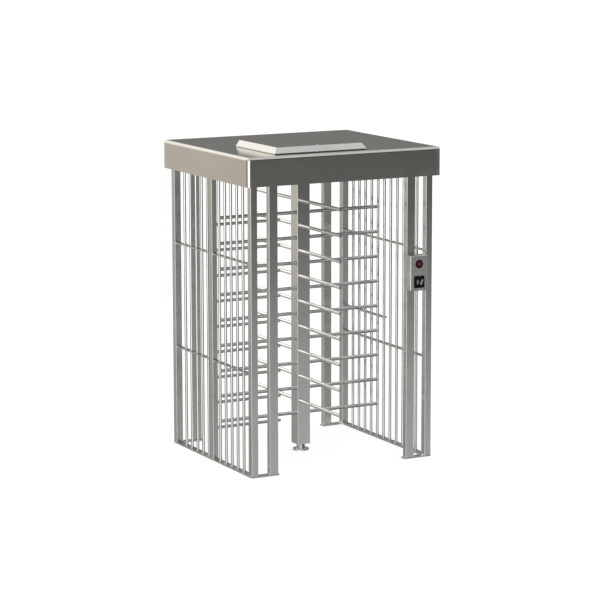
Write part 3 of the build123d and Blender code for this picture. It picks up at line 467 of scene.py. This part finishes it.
def cap_screw(piece, place, radius=0.004, tall=0.003):
    """Round head with a socket."""
    socket, floor = radius * 0.5, tall * 0.4
    profile = [(radius, 0), (radius, tall * 0.6), (radius * 0.8, tall), (socket, tall), (socket, floor),
               (CLOSED, floor)]
    piece.turned(profile, place, 20)


WELD = machined_steel("weld_bead_steel", (0.58, 0.565, 0.53))
WELD_SIZE = 0.0022
WELD_STEP = 0.004               # distance between the rings of a bead along a straight side
COLUMN_LOW, COLUMN_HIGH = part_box("rotor_column")


def square_path(low, high, z, inset=0.003):
    """Level path round a square tube, cut short at its rounded corners."""
    corners = [(low.x, low.y), (high.x, low.y), (high.x, high.y), (low.x, high.y)]
    path = []
    for (x0, y0), (x1, y1) in zip(corners, corners[1:] + corners[:1]):
        length = math.hypot(x1 - x0, y1 - y0)
        steps = int(length / WELD_STEP)
        for step in range(steps):
            part = inset / length + (1 - 2 * inset / length) * step / steps
            path.append((between(x0, x1, part), between(y0, y1, part), z))
    return path


def weld_cage():
    """Beads at the feet of the posts, at the comb and where bars pass the rails; collars at the bars' feet."""
    piece = Piece("cage_weld_beads")
    collars = Piece("bar_foot_collars")
    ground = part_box("base_strip_left")[1].z
    for name in NODES:
        if "_post" in name:
            piece.swept(square_path(*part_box(name), ground), WELD_SIZE, WELD_RIPPLE)
    for name in ("left_wall_bars", "right_wall_bars"):
        for low, high in solids_of(name):
            centre, bar = (low + high) / 2, (high.x - low.x) / 2
            inside, outside, shoulder, top = bar + 0.0001, bar + 0.0040, 0.006, 0.008
            profile = [(inside, 0), (outside, 0), (outside, shoulder), (bar + 0.0026, top), (inside, top)]
            collars.turned(profile, at(centre.x, centre.y, ground))
            for rail_low, rail_high in solids_of(name.split("_")[0] + "_rails"):
                if rail_low.y < centre.y < rail_high.y:
                    piece.loop(at(centre.x, centre.y, rail_high.z), bar, WELD_SIZE, 14)
    for low, high in solids_of("comb_bars"):
        centre = (low + high) / 2
        piece.loop(at(low.x, centre.y, centre.z, (1, 0, 0)), (high.z - low.z) / 2, WELD_SIZE)
    piece.make("cage", "brushed_post", WELD, 60)
    collars.make("cage", "machined_steel")


def weld_rotor():
    """Beads where the through-tubes leave the column, and round the top of the foot spindle."""
    piece = Piece("rotor_weld_beads")
    for low, high in solids_of("side_arms"):
        centre, radius = (low + high) / 2, (high.z - low.z) / 2
        for x in (COLUMN_LOW.x, COLUMN_HIGH.x):
            piece.loop(at(x, centre.y, centre.z, (1, 0, 0)), radius, WELD_SIZE)
    for low, high in solids_of("lane_arms"):
        centre, radius = (low + high) / 2, (high.z - low.z) / 2
        for y in (COLUMN_LOW.y, COLUMN_HIGH.y):
            piece.loop(at(centre.x, y, centre.z, (0, 1, 0)), radius, WELD_SIZE)
    spindle_low, spindle_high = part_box("foot_spindle")
    piece.loop(at(0, 0, spindle_high.z), (spindle_high.x - spindle_low.x) / 2, WELD_SIZE)
    piece.make("rotor", "brushed_column", WELD, 60)


def indicator_marks():
    """Bezel, cross mark and centre of the round indicator."""
    low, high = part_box("indicator_lens")
    centre = (low + high) / 2
    radius = (high.x - low.x) / 2
    inside, outside, shoulder, front = radius + 0.0002, radius + 0.0056, 0.0008, 0.0014
    face_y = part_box("reader_housing")[0].y
    bezel = Piece("indicator_bezel")
    bezel.turned([(inside, 0), (outside, 0), (outside, shoulder), (radius + 0.0046, front),
                  (radius + 0.0012, front), (inside, shoulder)],
                 at(centre.x, face_y, centre.z, (0, -1, 0)), 48)
    bezel.make("cage", "reader_plastic")

    cross = Piece("indicator_cross")
    for turn in (45, -45):
        cross.slab(leaning(centre.x, low.y - 0.0002, centre.z, turn), (0.027, 0.0006, 0.0052), 0.0002)
    cross.make("cage", "red_lens", glowing("cross_light", (0.10, 0.008, 0.016), 0.06))
    hub = Piece("indicator_centre")
    hub.turned([(0.0048, 0), (0.0048, 0.0004), (0.003, 0.0008), (CLOSED, 0.0009)],
               at(centre.x, low.y - 0.0005, centre.z, (0, -1, 0)))
    hub.make("cage", "red_lens", glowing("centre_light", (0.22, 0.07, 0.09), 0.10))


def card_reader_marks():
    """Waves, a tilted card and a standby light on the card reader."""
    low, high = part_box("card_reader")
    centre = (low + high) / 2
    depth = low.y - 0.0002
    first_radius, radius_step, line = 0.005, 0.0064, 0.0026
    start, sweep, steps = 118, 124, 12
    glyph = Piece("card_reader_glyph")
    for ring in range(3):
        radius = first_radius + radius_step * ring
        path = []
        for step in range(steps + 1):
            turn = math.radians(start + sweep * step / steps)
            across, up = radius * math.cos(turn) - 0.004, radius * math.sin(turn)
            path.append((centre.x + across, depth, centre.z + up))
        glyph.swept(path, line, closed=False)
    glyph.slab(leaning(centre.x + 0.017, depth, centre.z - 0.002, 20), (0.016, 0.0008, 0.038), 0.0003)
    glyph.make("cage", "reader_plastic", plastic("printed_grey", (0.19, 0.19, 0.19), 0.5))
    light = Piece("card_reader_light")
    light.slab(shifted(centre.x, depth, high.z - 0.008), (0.012, 0.0008, 0.0018), 0.0003)
    light.make("cage", "reader_plastic", glowing("standby_light", (0.02, 0.09, 0.03), 0.3))


def reader_screws():
    """Two screws in the reader box's right side."""
    low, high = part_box("reader_housing")
    from_end, behind_middle = 0.03, 0.018
    screws = Piece("reader_screws")
    for z in (low.z + from_end, high.z - from_end):
        cap_screw(screws, at(high.x, (low.y + high.y) / 2 + behind_middle, z, (1, 0, 0)), 0.0042, 0.0026)
    screws.make("cage", "machined_steel")


def hinge_screws():
    """Screws in both leaves of each hinge."""
    leaf = 0.002
    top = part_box("fixed_hinge_leaves")[0].z + leaf
    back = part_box("roof_lid")[1].y + leaf
    fixed, moving = Piece("roof_hinge_screws"), Piece("lid_hinge_screws")
    for low, high in solids_of("fixed_hinge_leaves"):
        for part in (0.18, 0.5, 0.82):
            cap_screw(fixed, at(between(low.x, high.x, part), high.y - 0.011, top), 0.0042, 0.002)
    for low, high in solids_of("lid_hinge_leaves"):
        for part in (0.12, 0.5, 0.88):
            place = at(between(low.x, high.x, part), back, high.z - 0.009, (0, 1, 0))
            cap_screw(moving, place, 0.0038, 0.0018)
    fixed.make("cage", "machined_steel")
    moving.make("lid", "machined_steel")


def head_bolts():
    """Bolts of the mechanism plate and screws on the gearbox and solenoids."""
    bolts = Piece("head_bolts")
    low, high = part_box("mechanism_plate")
    from_edge = 0.013
    for x in (low.x + from_edge, high.x - from_edge):
        for part in (0.04, 0.35, 0.66, 0.96):
            hex_head(bolts, at(x, between(low.y, high.y, part), high.z))
    low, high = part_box("gear_motor")
    gearbox = high.x - low.x
    for side in (-1, 1):
        for part in (0.12, 0.88):
            x = (low.x + high.x) / 2 + side * gearbox * 0.38
            cap_screw(bolts, at(x, high.y - gearbox * part, high.z), 0.0045, 0.004)
    for low, high in solids_of("lock_solenoids"):
        for y in (low.y + 0.006, high.y - 0.006):
            for x in (low.x + 0.01, high.x - 0.01):
                cap_screw(bolts, at(x, y, high.z), 0.0035, 0.0028)
    bolts.make("cage", "machined_steel")


def motor_fins():
    """Cooling fins round the motor, and its terminal box."""
    low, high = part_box("gear_motor")
    centre = (low + high) / 2
    root, tip, count, pitch, first = 0.0296, 0.0315, 14, 0.0082, 0.022
    fins = Piece("motor_fins")
    for place in range(count):
        y = low.y + first + pitch * place
        fins.turned([(root, 0), (tip, 0.0004), (tip, 0.0022), (root, 0.0026)],
                    at(centre.x, y, centre.z, (0, 1, 0)), 40)
    fins.slab(shifted(centre.x, low.y + 0.075, high.z + 0.004), (0.036, 0.052, 0.018), 0.002)
    fins.make("cage", "black_coating")


def board_parts():
    """Chips, their legs and terminal screws on the control board, and screws on the power supply."""
    low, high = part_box("control_board")
    top = low.z + 0.014
    terminal_tall, terminal_in = 0.014, 0.020
    leg_pitch, leg_out = 0.0026, 0.0084
    chips = Piece("board_chips")
    pins = Piece("board_pins")
    spots = [(0.040 + 0.0265 * place, 0.068) for place in range(4)] + [(0.044, 0.108), (0.116, 0.108)]
    for across, along in spots:
        x, y = low.x + across, low.y + along
        chips.slab(shifted(x, y, top + 0.0016), (0.014, 0.022, 0.0032), 0.0004)
        for pin in range(8):
            for side in (-1, 1):
                leg = shifted(x + side * leg_out, y - 0.0091 + leg_pitch * pin, top + 0.0009)
                pins.slab(leg, (0.0028, 0.0009, 0.0012), 0.0002)
    chips.make("cage", "dark_plastic")
    for x in (low.x + terminal_in, high.x - terminal_in):
        for place in range(16):
            y = low.y + 0.028 + 0.0103 * place
            pins.turned([(0.0026, 0), (0.0026, 0.0008), (CLOSED, 0.0012)], at(x, y, top + terminal_tall), 14)
    low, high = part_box("power_supply")
    for place in range(7):
        cap_screw(pins, at(high.x - 0.014, low.y + 0.03 + 0.016 * place, high.z), 0.0042, 0.003)
    pins.make("cage", "machined_steel")


# Strokes of a digit: (side, height, upright), from the digit's middle.
STROKES = {"a": (0, 1, False), "b": (1, 0.5, True), "c": (1, -0.5, True), "d": (0, -1, False),
           "e": (-1, -0.5, True), "f": (-1, 0.5, True), "g": (0, 0, False)}
SHOWN = ("abcdef", "bc", "abged", "bcfg", "abcdef", "abc")


def counter_face():
    """Dark window and plain digits on the counter's sloped face."""
    low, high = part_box("counter_module")
    slope = Vector((0, 0.034, 0.032))
    outward = Vector((0, -slope.z, slope.y)).normalized()
    middle = Vector(((low.x + high.x) / 2, low.y, low.z + 0.030)) + slope * 0.5
    across, up = Vector((1, 0, 0)), slope.normalized()
    face = Matrix((across, up, outward)).transposed().to_4x4()
    window = Piece("counter_window")
    window.slab(Matrix.Translation(middle + outward * 0.0006) @ face, (0.098, 0.028, 0.0016), 0.0006)
    window.make("cage", "reader_plastic")
    pitch, half_wide, half_tall = 0.0145, 0.0036, 0.0078
    upright, level = (0.0012, 0.0064, 0.0005), (0.0058, 0.0012, 0.0005)
    digits = Piece("counter_digits")
    for place, lit in enumerate(SHOWN):
        centre = middle + across * (pitch * (place - (len(SHOWN) - 1) / 2)) + outward * 0.0016
        for name in lit:
            side, height, standing = STROKES[name]
            spot = centre + across * (half_wide * side) + up * (half_tall * height)
            digits.slab(Matrix.Translation(spot) @ face, upright if standing else level, 0.0001)
    digits.make("cage", "red_lens", glowing("digit_light", (0.60, 0.04, 0.025), 0.45))


weld_cage()
weld_rotor()
indicator_marks()
card_reader_marks()
reader_screws()
hinge_screws()
head_bolts()
motor_fins()
board_parts()
counter_face()


# ---------------------------------------------------------------- studio and camera

CAMERA_AT = (-8.1581, -15.4101, 4.0722)
CAMERA_TURN = 27.885            # degrees from straight ahead towards +X
CAMERA_PITCH = 9.720            # degrees downwards
CAMERA_ROLL = -0.102
CAMERA_LENS = 149.43            # millimetres, on a sensor 36 mm wide


def place_camera():
    """Long lens, front left of the object and a little above it."""
    turn, pitch, roll = (math.radians(angle) for angle in (CAMERA_TURN, CAMERA_PITCH, CAMERA_ROLL))
    forward = Vector((math.sin(turn) * math.cos(pitch), math.cos(turn) * math.cos(pitch), -math.sin(pitch)))
    right = Vector((math.cos(turn), -math.sin(turn), 0.0))
    up = right.cross(forward)
    leaned = right * math.cos(roll) + up * math.sin(roll)
    up = leaned.cross(forward)
    axes = Matrix((leaned, up, -forward)).transposed()
    data = bpy.data.cameras.new("camera")
    data.lens = CAMERA_LENS
    data.sensor_width = 36.0
    data.clip_end = 200.0
    camera = bpy.data.objects.new("camera", data)
    camera.matrix_world = Matrix.Translation(CAMERA_AT) @ axes.to_4x4()
    bpy.context.scene.collection.objects.link(camera)
    bpy.context.scene.camera = camera


# What the polished metal mirrors: (direction round the floor in degrees from +X, colour), by height.
SKY = ((0, (0.80, 0.81, 0.82)), (40, (0.72, 0.72, 0.71)), (66, (0.74, 0.74, 0.73)), (84, (1.2, 1.2, 1.18)),
       (101, (1.5, 1.5, 1.46)), (160, (1.4, 1.4, 1.4)), (230, (0.95, 0.98, 1.0)), (300, (0.78, 0.83, 0.85)),
       (335, (0.90, 0.95, 0.97)))
UPPER = ((0, (0.40, 0.40, 0.39)), (30, (0.24, 0.24, 0.235)), (62, (0.195, 0.197, 0.19)),
         (78, (0.24, 0.24, 0.23)), (92, (1.2, 1.2, 1.15)), (128, (1.4, 1.4, 1.36)),
         (140, (0.30, 0.30, 0.29)), (164, (0.20, 0.20, 0.19)), (176, (0.8, 0.8, 0.79)),
         (240, (1.0, 1.0, 0.99)), (270, (0.9, 0.9, 0.88)), (281, (0.6, 0.6, 0.59)),
         (287, (0.03, 0.031, 0.028)), (332, (0.04, 0.041, 0.038)))
HORIZON = ((0, (0.42, 0.42, 0.41)), (30, (0.30, 0.30, 0.29)), (62, (0.22, 0.222, 0.21)),
           (95, (0.42, 0.41, 0.39)), (108, (0.71, 0.68, 0.61)), (122, (0.69, 0.66, 0.60)),
           (134, (0.16, 0.16, 0.155)), (160, (0.07, 0.07, 0.068)), (170, (0.62, 0.62, 0.61)),
           (189, (0.66, 0.66, 0.65)), (197, (2.4, 2.4, 2.36)), (258, (2.4, 2.4, 2.36)),
           (265, (0.62, 0.62, 0.61)), (279, (0.50, 0.50, 0.49)), (286, (0.100, 0.105, 0.100)),
           (330, (0.102, 0.107, 0.102)))
GROUND = ((0, (0.62, 0.62, 0.61)), (62, (0.50, 0.50, 0.49)), (112, (0.37, 0.37, 0.37)),
          (125, (0.36, 0.36, 0.36)), (138, (0.20, 0.20, 0.195)), (162, (0.18, 0.18, 0.175)),
          (174, (0.55, 0.55, 0.54)), (189, (0.58, 0.58, 0.57)), (198, (1.5, 1.5, 1.48)),
          (256, (1.5, 1.5, 1.48)), (266, (0.60, 0.60, 0.59)), (282, (0.60, 0.60, 0.59)),
          (300, (0.60, 0.605, 0.61)), (330, (0.55, 0.555, 0.56)))
DEEP = ((0, (0.16, 0.16, 0.155)), (62, (0.14, 0.14, 0.135)), (118, (0.22, 0.22, 0.215)),
        (180, (0.30, 0.30, 0.295)), (240, (0.36, 0.36, 0.355)), (300, (0.14, 0.14, 0.135)))
# Each band above the deepest, with the heights in degrees between which it takes over.
BANDS = ((GROUND, -46.0, -24.0), (HORIZON, -13.5, -6.8), (UPPER, -3.0, 3.0), (SKY, 11.0, 26.0))


def build_world():
    """White surroundings, with a soft studio that only reflections see."""
    world = bpy.data.worlds.new("studio")
    bpy.context.scene.world = world
    world.use_nodes = True
    nodes, links = world.node_tree.nodes, world.node_tree.links
    nodes.clear()
    parts = nodes.new("ShaderNodeSeparateXYZ")
    links.new(nodes.new("ShaderNodeTexCoord").outputs["Generated"], parts.inputs["Vector"])

    def calc(kind, *values):
        node = nodes.new("ShaderNodeMath")
        node.operation = kind
        for place, value in enumerate(values):
            if isinstance(value, (int, float)):
                node.inputs[place].default_value = value
            else:
                links.new(value, node.inputs[place])
        return node.outputs[0]

    turn = calc("ARCTAN2", parts.outputs["Y"], parts.outputs["X"])
    turn = calc("FRACT", calc("ADD", calc("DIVIDE", turn, 2 * math.pi), 1.0))
    height = calc("ARCSINE", parts.outputs["Z"])

    def band(stops):
        """A colour for each direction round the floor, the same again after a full turn."""
        node = nodes.new("ShaderNodeValToRGB")
        elements = node.color_ramp.elements
        elements[0].position, elements[0].color = 0.0, (*stops[0][1], 1)
        elements[1].position, elements[1].color = 1.0, (*stops[0][1], 1)
        for degrees, colour in stops[1:]:
            elements.new(degrees / 360).color = (*colour, 1)
        links.new(turn, node.inputs["Fac"])
        return node.outputs["Color"]

    def blend(low, high, start, end):
        """Passes from one band to another between two heights, in degrees."""
        ranged = nodes.new("ShaderNodeMapRange")
        ranged.interpolation_type = "SMOOTHSTEP"
        ranged.inputs["From Min"].default_value = math.radians(start)
        ranged.inputs["From Max"].default_value = math.radians(end)
        links.new(height, ranged.inputs["Value"])
        mix = nodes.new("ShaderNodeMix")
        mix.data_type = "RGBA"
        sockets = {s.name: s for s in mix.inputs if s.type == "RGBA"}
        links.new(ranged.outputs["Result"], mix.inputs["Factor"])
        links.new(low, sockets["A"])
        links.new(high, sockets["B"])
        return [s for s in mix.outputs if s.type == "RGBA"][0]

    studio = band(DEEP)
    for stops, start, end in BANDS:
        studio = blend(studio, band(stops), start, end)
    path = nodes.new("ShaderNodeLightPath")
    seen = nodes.new("ShaderNodeBackground")
    seen.inputs["Color"].default_value = (1, 1, 1, 1)
    mirrored = nodes.new("ShaderNodeBackground")
    links.new(studio, mirrored.inputs["Color"])
    mix = nodes.new("ShaderNodeMixShader")
    links.new(path.outputs["Is Glossy Ray"], mix.inputs["Fac"])
    links.new(seen.outputs["Background"], mix.inputs[1])
    links.new(mirrored.outputs["Background"], mix.inputs[2])
    output = nodes.new("ShaderNodeOutputWorld")
    links.new(mix.outputs["Shader"], output.inputs["Surface"])


FLOOR_HALF = 60.0
FLOOR_GLOW = 0.78               # lifts the floor to white, so that only a faint shadow shows


def build_floor():
    """Large pale floor that the polished metal does not mirror."""
    mesh = bpy.data.meshes.new("floor")
    corners = [(-FLOOR_HALF, -FLOOR_HALF, 0), (FLOOR_HALF, -FLOOR_HALF, 0),
               (FLOOR_HALF, FLOOR_HALF, 0), (-FLOOR_HALF, FLOOR_HALF, 0)]
    mesh.from_pydata(corners, [], [(0, 1, 2, 3)])
    floor = bpy.data.objects.new("floor", mesh)
    bpy.context.scene.collection.objects.link(floor)
    pale = Finish("pale_floor", (0.32, 0.32, 0.32), 0.9, 0.0)
    cloud = pale.noise(0.6)
    tone = pale.mix(pale.ramp(cloud, 0.0, 1.0), (0.31, 0.31, 0.31), (0.33, 0.33, 0.33))
    pale.shader.inputs["Specular IOR Level"].default_value = 0.0
    pale.shader.inputs["Emission Color"].default_value = (1, 1, 1, 1)
    pale.shader.inputs["Emission Strength"].default_value = FLOOR_GLOW
    mesh.materials.append(pale.finish(tone))
    floor.visible_glossy = False


place_camera()
build_world()
build_floor()
bpy.context.scene.view_settings.view_transform = "Standard"
